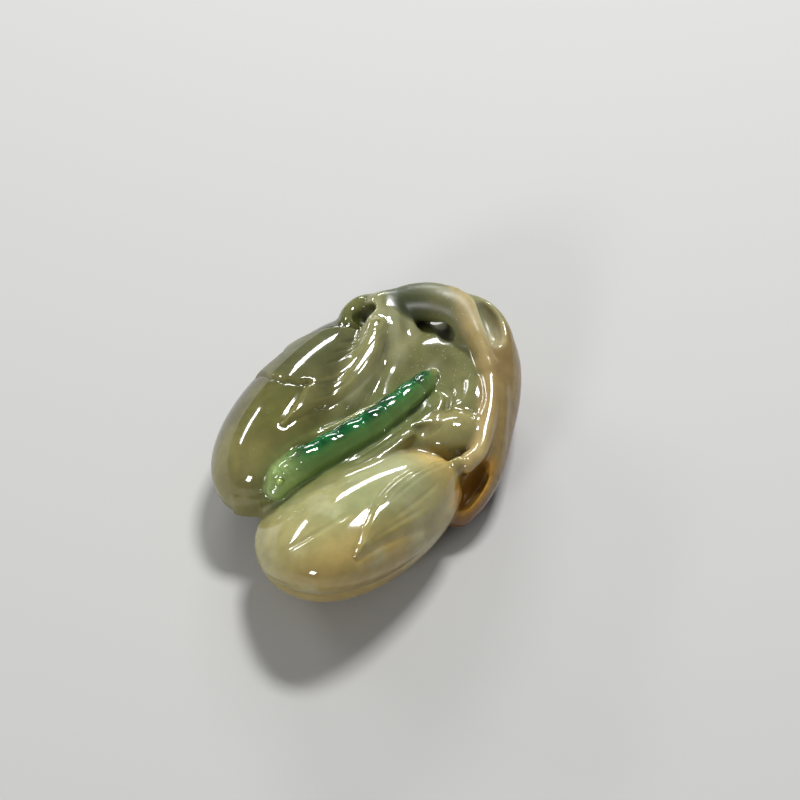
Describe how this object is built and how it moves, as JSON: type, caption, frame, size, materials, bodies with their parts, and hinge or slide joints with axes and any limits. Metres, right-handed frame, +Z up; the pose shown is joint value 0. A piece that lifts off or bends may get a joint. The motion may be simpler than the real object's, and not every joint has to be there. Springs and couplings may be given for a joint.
{
  "type": "carved jade pendant",
  "caption": "Carved jade pendant: long smooth fruits side by side with overlapping leaves, an arched vine over a cord hole and an insect larva lying along the middle leaf.",
  "frame": {"origin": "middle of the pendant's plan outline, on the surface that it lies on", "axes": "+Z up out of the carved face, +Y along the pendant from the fruits' tips to the cord hole, +X to the right seen from above"},
  "size_m": [0.039, 0.0566, 0.0164],
  "materials": {
    "jade": "polished translucent olive and russet jade with an emerald streak along the larva"
  },
  "bodies": {
    "root": {"jade_carving": "jade"}
  },
  "joints": []
}
